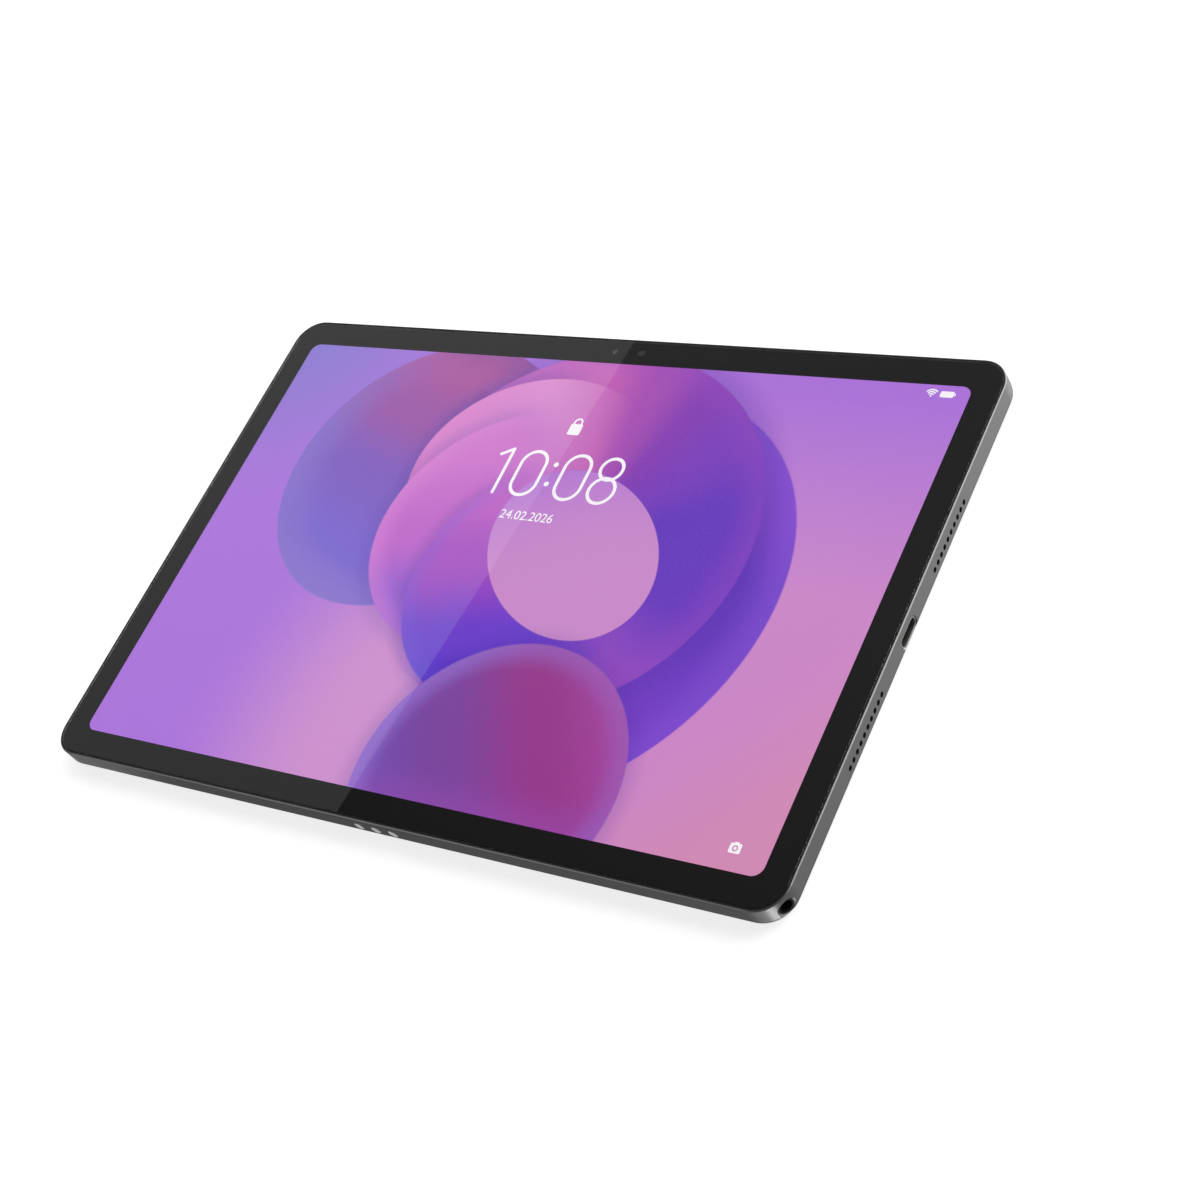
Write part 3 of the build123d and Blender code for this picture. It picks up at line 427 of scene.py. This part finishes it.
def make_looks():
    """Every material by its short name."""
    return {
        "anodised": blasted_metal("anodised_aluminium", 0.30, 0.36, 0.16),
        "polished": blasted_metal("polished_aluminium", 0.30, 0.27, 0.05),
        "ring": blasted_metal("ring_metal", 0.58, 0.22, 0.04),
        "camera_trim": blasted_metal("camera_trim_metal", 0.14, 0.16, 0.03),
        "island": glossy_island(),
        "glass": clear_glass(),
        "lens_window": lens_window(),
        "print": grained("black_print", (3.0, 2.0), greys(0.0095, 0.0130), (0.45, 0.6),
                         spread=(0.2, 0.8), Specular_IOR_Level=0.1),
        "picture": picture_look(),
        "lit_white": lit_white(),
        # The rear lens's dark purple colour is partly its own dark glass and partly a painted
        # sheen of its coating.
        "lens": grained("lens_element_painted_sheen", (0.9, 1.0), ((0.010, 0.003, 0.030), (0.030, 0.006, 0.050)),
                        (0.02, 0.06), IOR=1.6, Coat_Weight=0.5, Coat_Roughness=0.02),
        # The purple patches in this lens's colour are a painted glint of its coating; the
        # near-black under them is the lens's own.
        "small_lens_painted_glint": grained("small_lens_painted_glint", (1.6, 1.0),
                              ((0.004, 0.001, 0.008), (0.050, 0.004, 0.060)), (0.08, 0.14),
                              Coat_Weight=0.1, Coat_Roughness=0.02, Specular_IOR_Level=0.1),
        "camera_black": grained("camera_black", (8.0, 2.0), greys(0.002, 0.006), (0.6, 0.8),
                                Specular_IOR_Level=0.15),
        "sensor": grained("sensor_window", (1.5, 1.0),
                          ((0.005, 0.005, 0.007), (0.010, 0.009, 0.013)),
                          Roughness=0.45, Specular_IOR_Level=0.05),
        "plastic": grained("moulded_black", (5.0, 3.0, 0.6), greys(0.012, 0.024), (0.5, 0.66),
                           relief=(0.02, 0.4), Specular_IOR_Level=0.4),
        "frame_plastic": grained("satin_frame_plastic", (4.0, 2.0), greys(0.026, 0.044),
                                 (0.40, 0.50), Specular_IOR_Level=0.4),
        "socket_plastic": grained("socket_plastic", (4.0, 2.0), greys(0.014, 0.024),
                                  (0.38, 0.50), Specular_IOR_Level=0.3),
        "foam": foam_tape(),
        "film": optical_film(),
        "flex": polyimide_flex(),
        "steel": pressed_steel(),
        "screw": grained("black_screw_steel", (3.0, 3.0), greys(0.16, 0.34), (0.3, 0.5),
                         Metallic=1.0),
        "board": solder_mask(),
        "pouch": grained("laminated_pouch", (0.12, 4.0, 0.6), greys(0.035, 0.075), (0.32, 0.5),
                         relief=(0.12, 0.5), Specular_IOR_Level=0.4),
        "graphite": grained("graphite_film", (2.0, 4.0, 0.7), greys(0.035, 0.085), (0.4, 0.6),
                            Metallic=0.35),
        "mesh": dust_mesh(),
        "gilt": grained("gilt_contact", (4.0, 3.0), ((0.62, 0.42, 0.13), (0.86, 0.63, 0.24)),
                        (0.2, 0.35), Metallic=1.0),
        "bright": grained("bright_contact", (3.0, 3.0), greys(0.62, 0.90, 0.01), (0.34, 0.5),
                          Metallic=0.15),
        "chip": grained("chip_package", (6.0, 2.0), greys(0.010, 0.028), (0.42, 0.58),
                        Specular_IOR_Level=0.45),
    }


NODE_LOOKS = {
    "anodised": ["rear_housing", "card_tray", "mid_plate"],
    "island": ["camera_island"],
    "polished": ["power_button", "volume_rocker"],
    "ring": ["camera_ring"],
    "glass": ["cover_glass"],
    "lens_window": ["camera_lens_cover"],
    "print": ["glass_border"],
    "picture": ["display_panel"],
    "lens": ["rear_camera_lens"],
    "small_lens_painted_glint": ["front_camera_lens"],
    "sensor": ["light_sensor"],
    "camera_black": ["rear_camera_module", "front_camera_module"],
    "frame_plastic": ["glass_frame"],
    "socket_plastic": ["headphone_jack"],
    "foam": ["display_adhesive", "battery_adhesive", "rear_camera_gasket"],
    "film": ["backlight"],
    "flex": ["driver_flex", "battery_flex", "display_flex", "main_flex", "rear_camera_flex",
             "headphone_flex", "contact_flex", "backlight_led_bar", "radio_antennas"],
    "steel": ["processor_shield", "power_shield", "radio_shield", "usb_c_shell", "card_reader",
              "power_switch", "volume_switches"],
    "screw": ["plate_screws", "board_screws"],
    "board": ["display_board", "battery_protection_board", "main_board", "usb_board"],
    "pouch": ["battery_cell_left", "battery_cell_right"],
    "graphite": ["graphite_sheet"],
    "plastic": ["speaker_box_upper_left", "speaker_box_lower_left", "speaker_box_upper_right",
                "speaker_box_lower_right", "speaker_drivers", "usb_c_tongue", "contact_block"],
    "mesh": ["speaker_meshes"],
    "gilt": ["headphone_springs"],
    "bright": ["accessory_contacts"],
    "chip": ["chips", "microphone"],
}


def dress_nodes(looks):
    """Gives every CAD node its finish, and stops if one was forgotten."""
    dressed = set()
    for finish, names in NODE_LOOKS.items():
        for name in names:
            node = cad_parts[name]
            node.data.materials.clear()
            node.data.materials.append(looks[finish].material)
            dressed.add(name)
    left = sorted(set(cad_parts) - dressed)
    if left:
        raise RuntimeError(f"no finish for {left}")


# ---------------------------------------------------------------- flat pieces on the display

def arc(centre, radius, start, end, steps=32):
    """Points of an arc, angles in degrees."""
    return [(centre[0] + radius * math.cos(math.radians(start + (end - start) * i / steps)),
             centre[1] + radius * math.sin(math.radians(start + (end - start) * i / steps)))
            for i in range(steps + 1)]


def rounded(centre, length, height, radius):
    """The outline of a rectangle with round corners."""
    points = []
    for turn, sx, sy in ((0, 1, 1), (90, -1, 1), (180, -1, -1), (270, 1, -1)):
        corner = (centre[0] + sx * (length / 2 - radius), centre[1] + sy * (height / 2 - radius))
        points += arc(corner, radius, turn, turn + 90, 10)
    return points


def stroke(points, width, cap=True):
    """The outline of an open line of even width with round ends."""
    sides = ([], [])
    for i, point in enumerate(points):
        before, after = points[max(i - 1, 0)], points[min(i + 1, len(points) - 1)]
        along = Vector((after[0] - before[0], after[1] - before[1])).normalized()
        for side, sign in zip(sides, (1, -1)):
            side.append((point[0] - sign * along.y * width / 2,
                         point[1] + sign * along.x * width / 2))
    first = Vector(points[1]) - Vector(points[0])
    last = Vector(points[-1]) - Vector(points[-2])
    end = math.degrees(math.atan2(last.y, last.x))
    start = math.degrees(math.atan2(first.y, first.x))
    tip = arc(points[-1], width / 2, end + 90, end - 90, 10) if cap else []
    tail = arc(points[0], width / 2, start - 90, start - 270, 10) if cap else []
    return sides[0] + tip + sides[1][::-1] + tail


ICON_LOW = PANEL_TOP + 0.01 * MM
ICON_HIGH = PANEL_TOP + 0.04 * MM
ICON_MIDDLE = (ICON_LOW + ICON_HIGH) / 2


def icon(name, outlines, look):
    """A flat sign from outlines in millimetres; an outline inside another is a hole."""
    curve = bpy.data.curves.new(name, "CURVE")
    curve.dimensions, curve.fill_mode = "2D", "BOTH"
    for outline in outlines:
        spline = curve.splines.new("POLY")
        spline.points.add(len(outline) - 1)
        for point, (x, y) in zip(spline.points, outline):
            point.co = (x * MM, y * MM, 0, 1)
        spline.use_cyclic_u = True
    sign_from(name, curve, Vector((0, 0, ICON_MIDDLE)), look)


def sign_from(name, curve, offset, look):
    """Turns a curve into a solid sign, and moves its points to their place on the screen."""
    curve.extrude = (ICON_HIGH - ICON_LOW) / 2
    shape = bpy.data.objects.new(name + ".shape", curve)
    bpy.context.scene.collection.objects.link(shape)
    bpy.context.view_layer.update()
    evaluated = shape.evaluated_get(bpy.context.evaluated_depsgraph_get())
    mesh = bpy.data.meshes.new_from_object(evaluated)
    bpy.data.objects.remove(shape)
    mesh.name = name
    mesh.transform(Matrix.Translation(offset))
    weld(mesh)
    piece(name, mesh, look)


def weld(mesh):
    """Joins the points that lie on each other, and turns the faces outwards."""
    work = bmesh.new()
    work.from_mesh(mesh)
    bmesh.ops.remove_doubles(work, verts=work.verts, dist=WELD)
    bmesh.ops.recalc_face_normals(work, faces=work.faces)
    work.to_mesh(mesh)
    work.free()


def piece(name, mesh, look, smooth=False):
    """A new piece on the tablet body."""
    made = bpy.data.objects.new(name, mesh)
    bpy.context.scene.collection.objects.link(made)
    mesh.materials.clear()
    mesh.materials.append(look.material)
    for face in mesh.polygons:
        face.use_smooth = smooth
    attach(made, "tablet")


# Places and sizes of the signs, in millimetres on the screen
CLOCK_LOW, CLOCK_HIGH = 24.5, 41.1
CLOCK_STROKE = 1.05
ZERO_WIDTH = 9.9
ZERO_LEFT_X, ZERO_RIGHT_X = -8.05, 7.8
COLON_DOTS = ((-0.05, 36.6), (-0.05, 29.7))
COLON_RADIUS = 0.85
EIGHT_RINGS = {"top": ((19.55, 36.85), 4.25), "foot": ((19.55, 29.35), 4.85)}
DATE_PLACE = (-1.1, 16.7)
DATE_HEIGHT = 4.3
LOCK_X = 0.05
WIRELESS_DOT = (107.1, 70.3)
WIRELESS_RADII = (0.75, 1.45, 2.15)
BATTERY_Y = 71.1
CAMERA_SIGN = (108.6, -67.9)


def zero(centre_x):
    """A tall ring with straight sides."""
    middle = (centre_x, (CLOCK_LOW + CLOCK_HIGH) / 2)
    height = CLOCK_HIGH - CLOCK_LOW
    return [rounded(middle, ZERO_WIDTH, height, ZERO_WIDTH / 2 - 0.01),
            rounded(middle, ZERO_WIDTH - 2 * CLOCK_STROKE, height - 2 * CLOCK_STROKE,
                    ZERO_WIDTH / 2 - CLOCK_STROKE - 0.01)]


def dot(centre, radius):
    """A small round outline."""
    return arc(centre, radius, 0, 345, 23)


def display_pieces(white):
    """The clock, date and small signs on the locked screen."""
    icon("clock_digit_1",
         [stroke([(-21.2, CLOCK_HIGH - 2.6), (-17.5, CLOCK_HIGH - 0.45)], CLOCK_STROKE)], white)
    icon("clock_digit_1_stem",
         [stroke([(-17.4, CLOCK_HIGH - 0.5), (-17.4, CLOCK_LOW + 0.5)], CLOCK_STROKE)], white)
    icon("clock_digit_0_left", zero(ZERO_LEFT_X), white)
    icon("clock_digit_0_right", zero(ZERO_RIGHT_X), white)
    icon("clock_colon", [dot(centre, COLON_RADIUS) for centre in COLON_DOTS], white)
    for part, (centre, radius) in EIGHT_RINGS.items():
        icon(f"clock_digit_8_{part}", [arc(centre, size, 0, 354, 59)
                                       for size in (radius, radius - CLOCK_STROKE)], white)

    text = bpy.data.curves.new("date", "FONT")
    text.body = "24.02.2026"
    text.size = DATE_HEIGHT * MM
    text.align_x = "CENTER"
    sign_from("date_digits", text,
              Vector((DATE_PLACE[0] * MM, DATE_PLACE[1] * MM, ICON_MIDDLE)), white)

    icon("lock_body", [rounded((LOCK_X, 49.4), 4.3, 3.9, 0.5)], white)
    shackle = [(LOCK_X - 1.3, 51.2), *arc((LOCK_X, 51.9), 1.3, 180, 0, 16), (LOCK_X + 1.3, 51.2)]
    icon("lock_shackle", [stroke(shackle, 0.55, cap=False)], white)

    for number, radius in enumerate(WIRELESS_RADII):
        icon(f"wireless_arc_{number}", [stroke(arc(WIRELESS_DOT, radius, 45, 135, 12), 0.4)],
             white)
    icon("wireless_dot", [arc(WIRELESS_DOT, 0.26, 0, 330, 11)], white)

    icon("battery_sign", [rounded((111.7, BATTERY_Y), 4.0, 2.0, 0.45)], white)
    icon("battery_sign_tip", [rounded((114.0, BATTERY_Y), 0.35, 0.9, 0.12)], white)

    icon("camera_sign", [rounded(CAMERA_SIGN, 3.3, 2.7, 0.4), dot(CAMERA_SIGN, 0.85)], white)
    icon("camera_sign_hump",
         [rounded((CAMERA_SIGN[0], CAMERA_SIGN[1] + 1.45), 1.3, 0.5, 0.12)], white)
    icon("camera_sign_lens", [dot(CAMERA_SIGN, 0.42)], white)


# ---------------------------------------------------------------- turned pieces

def turned(name, centre, profile, look, steps=96):
    """A closed profile of (radius, height) in millimetres, turned about an upright axis."""
    work = bmesh.new()
    rings = []
    for step in range(steps):
        turn = 2 * math.pi * step / steps
        points = [Vector((radius * math.cos(turn), radius * math.sin(turn), height))
                  for radius, height in profile]
        rings.append([work.verts.new(Vector(centre) + point * MM) for point in points])
    for here, after in zip(rings, rings[1:] + rings[:1]):
        for i in range(len(profile)):
            work.faces.new((here[i - 1], after[i - 1], after[i], here[i]))
    bmesh.ops.remove_doubles(work, verts=work.verts, dist=WELD)
    bmesh.ops.dissolve_degenerate(work, edges=work.edges, dist=WELD / 10)
    bmesh.ops.recalc_face_normals(work, faces=work.faces)
    mesh = bpy.data.meshes.new(name)
    work.to_mesh(mesh)
    work.free()
    piece(name, mesh, look, smooth=True)
    mesh.set_sharp_from_angle(angle=math.radians(35))


def top_centre(node):
    """The middle of a node's upper side."""
    low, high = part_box(node)
    return Vector(((low.x + high.x) / 2, (low.y + high.y) / 2, high.z))


def camera_pieces(looks):
    """Rings round the lenses of both cameras, seen through their windows."""
    window = top_centre("camera_lens_cover")
    turned("rear_camera_trim", window,
           [(3.72, 0.080), (4.36, 0.012), (4.36, 0.030), (3.78, 0.094)],
           looks["camera_trim"])
    turned("rear_camera_iris", (window.x, window.y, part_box("rear_camera_lens")[0].z),
           [(1.66, -0.12), (1.95, -0.30), (2.05, -0.22), (1.75, 0.0)],
           looks["camera_trim"])
    turned("front_camera_trim", top_centre("front_camera_lens"),
           [(0.52, 0.02), (0.74, 0.10), (0.74, 0.16), (0.5, 0.06)],
           looks["camera_black"], steps=64)


# The port's contacts, in millimetres: two rows of bars on the faces of the tongue
CONTACTS_PER_ROW = 12
CONTACT_PITCH = 0.5
CONTACT_SIZE = Vector((3.0, 0.26, 0.06))
CONTACT_FROM_TIP = 1.9
CONTACT_HEIGHT = 0.36
CONTACT_BEVEL = 0.012


def port_pieces(looks):
    """Rows of contacts on both faces of the port's tongue."""
    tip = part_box("usb_c_tongue")[1].x
    shell_low, shell_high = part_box("usb_c_shell")
    middle = (shell_low.z + shell_high.z) / 2
    work = bmesh.new()
    for side in (-1, 1):
        for number in range(CONTACTS_PER_ROW):
            centre = Vector((tip - CONTACT_FROM_TIP * MM,
                             (number - (CONTACTS_PER_ROW - 1) / 2) * CONTACT_PITCH * MM,
                             middle + side * CONTACT_HEIGHT * MM))
            bmesh.ops.create_cube(work, size=1.0,
                                  matrix=Matrix.LocRotScale(centre, None, CONTACT_SIZE * MM))
    bmesh.ops.bevel(work, geom=work.edges[:], offset=CONTACT_BEVEL * MM, segments=1,
                    affect="EDGES")
    mesh = bpy.data.meshes.new("usb_c_contacts")
    work.to_mesh(mesh)
    work.free()
    piece("usb_c_contacts", mesh, looks["gilt"])


# ---------------------------------------------------------------- camera, floor and light

CAMERA_PLACE = (0.38381, -0.24538, 0.42934)
CAMERA_RIGHT = (0.80504, 0.40815, -0.43049)
CAMERA_BACK = (0.5819, -0.40227, 0.7068)
LENS_LENGTH, SENSOR_WIDTH = 66.39, 36.0
FLOOR_HALF = 6.0
FLOOR_GAP = 0.02        # below the object, in millimetres

# The right-hand edge of the left box is the line on the glass where its gloss ends
LEFT_BOX_RADIANCE = 0.41
LEFT_BOX_SIZE = (0.76, 0.70)
LEFT_BOX_HEIGHT = 0.421
LEFT_BOX_EDGE = (-0.3906, 0.245)
LEFT_BOX_TURN = -math.atan2(0.0339, 0.3276)

# name, place, the point it faces, size in metres, radiance
SOFT_BOXES = (
    ("overhead_box", (0.42, 0.52, 1.15), (0, 0, 0), (0.7, 0.7), 1.7),
    ("right_box", (0.95, 0.55, 0.75), (0, 0, 0), (0.6, 0.6), 1.6),
    ("front_box", (-0.62, -0.76, 0.43), (0, 0, 0), (0.5, 0.3), 0.8),
    # low boxes under the open floor, which only the walls and the back see
    ("low_front_box", (0.265, -0.396, -0.48), (0.122, -0.078, 0.0), (0.15, 0.16), 4.0),
    ("low_left_box", (-0.245, -0.10, -0.10), (-0.125, -0.083, 0.0), (0.05, 0.05), 0.5),
    ("wide_front_box", (0.032, -0.408, -0.486), (0.122, -0.078, 0.0), (0.3, 0.3), 0.16),
)

# Soft lobes of the room: the way each lies, its power (how narrow it is) and its strength
ROOM_LOBES = (
    ((0.35, 0.93, -0.10), 4.5, 2.6),
    ((0.0, -0.86, -0.51), 8.0, 0.5),
    ((0.56, -0.10, -0.82), 14.0, 0.2),
)
# Its light at the horizon, and how much it grows towards the top
ROOM_BASE, ROOM_RISE = 0.128, 0.014
# An even patch behind the object: the way it lies, where it starts and its strength
SKY_WAY, SKY_START, SKY_MOST = (0.0, 0.95, 0.35), 0.45, 0.24


def make_camera():
    """The photograph's view, from a fit of the outline and the lit screen."""
    data = bpy.data.cameras.new("camera")
    data.lens, data.sensor_width = LENS_LENGTH, SENSOR_WIDTH
    data.clip_start, data.clip_end = 0.01, 50.0
    camera = bpy.data.objects.new("camera", data)
    bpy.context.scene.collection.objects.link(camera)
    right = Vector(CAMERA_RIGHT).normalized()
    back = Vector(CAMERA_BACK).normalized()
    up = back.cross(right).normalized()
    right = up.cross(back)
    turn = Matrix((right, up, back)).transposed()
    camera.matrix_world = Matrix.Translation(CAMERA_PLACE) @ turn.to_4x4()
    bpy.context.scene.camera = camera


def make_floor():
    """A plain pale floor that is open to a view from below."""
    look = Look("floor_paint", Base_Color=(0.86, 0.86, 0.86), Roughness=0.9,
                Specular_IOR_Level=0.0, Emission_Color=(1, 1, 1), Emission_Strength=0.72)
    clear = look.add("ShaderNodeBsdfTransparent").outputs[0]
    under = look.add("ShaderNodeNewGeometry").outputs["Backfacing"]
    mixed = look.add("ShaderNodeMixShader", {0: under, 1: look.shader.outputs[0], 2: clear})
    look.put(look.tree.nodes["Material Output"].inputs[0], mixed.outputs[0])
    mesh = bpy.data.meshes.new("floor")
    corners = [(FLOOR_HALF * x, FLOOR_HALF * y, 0)
               for x, y in ((-1, -1), (1, -1), (1, 1), (-1, 1))]
    mesh.from_pydata(corners, [], [(0, 1, 2, 3)])
    mesh.materials.append(look.material)
    floor = bpy.data.objects.new("floor", mesh)
    floor.location.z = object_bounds()[0].z - FLOOR_GAP * MM
    bpy.context.scene.collection.objects.link(floor)
    floor.visible_glossy = False
    floor.visible_shadow = False
    floor.visible_transmission = False


def soft_box(name, place, aim, size, radiance):
    """An area light of even radiance that faces a point."""
    data = bpy.data.lights.new(name, "AREA")
    data.shape = "RECTANGLE"
    data.size, data.size_y = size
    data.energy = radiance * math.pi * size[0] * size[1]
    lamp = bpy.data.objects.new(name, data)
    bpy.context.scene.collection.objects.link(lamp)
    back = (Vector(place) - Vector(aim)).normalized()
    turn = back.to_track_quat("Z", "Y").to_matrix().to_4x4()
    lamp.matrix_world = Matrix.Translation(place) @ turn
    lamp.visible_camera = False
    return lamp


def make_light():
    """The room round the object, which shows only in what it reflects, and the soft boxes."""
    world = bpy.data.worlds.new("studio")
    bpy.context.scene.world = world
    world.use_nodes = True
    nodes, links = world.node_tree.nodes, world.node_tree.links

    def maths(operation, *values):
        node = nodes.new("ShaderNodeMath")
        node.operation = operation
        for socket, value in zip(node.inputs, values):
            if isinstance(value, bpy.types.NodeSocket):
                links.new(value, socket)
            else:
                socket.default_value = value
        return node.outputs[0]

    axes = nodes.new("ShaderNodeSeparateXYZ")
    links.new(nodes.new("ShaderNodeTexCoord").outputs["Generated"], axes.inputs[0])

    def leaning(way, start=0.0):
        """How far a direction leans this way beyond the start, and 0 below it."""
        lean = -start
        for axis, share in zip(axes.outputs, way):
            lean = maths("MULTIPLY_ADD", axis, share, lean)
        return maths("MAXIMUM", lean, 0.0)

    glow = maths("MULTIPLY_ADD", axes.outputs["Z"], ROOM_RISE, ROOM_BASE)
    for way, power, amount in ROOM_LOBES:
        glow = maths("MULTIPLY_ADD", maths("POWER", leaning(way), power), amount, glow)
    glow = maths("ADD", glow, maths("MINIMUM", leaning(SKY_WAY, SKY_START), SKY_MOST))
    seen = nodes.new("ShaderNodeLightPath").outputs["Is Camera Ray"]
    strength = maths("MULTIPLY_ADD", glow, maths("SUBTRACT", 1.0, seen), seen)
    background = nodes["Background"]
    background.inputs["Color"].default_value = (1, 1, 1, 1)
    links.new(strength, background.inputs["Strength"])

    height = GLASS_TOP + LEFT_BOX_HEIGHT
    box = soft_box("left_box", (0, 0, height), (0, 0, 0), LEFT_BOX_SIZE, LEFT_BOX_RADIANCE)
    box.matrix_world = (Matrix.Translation((*LEFT_BOX_EDGE, height))
                        @ Matrix.Rotation(LEFT_BOX_TURN, 4, "Z")
                        @ Matrix.Translation((-LEFT_BOX_SIZE[0] / 2, 0, 0)))
    for settings in SOFT_BOXES:
        soft_box(*settings)


looks = make_looks()
dress_nodes(looks)
display_pieces(looks["lit_white"])
camera_pieces(looks)
port_pieces(looks)
make_camera()
make_light()
make_floor()
bpy.context.scene.view_settings.view_transform = "Standard"
bpy.context.scene.view_settings.look = "None"
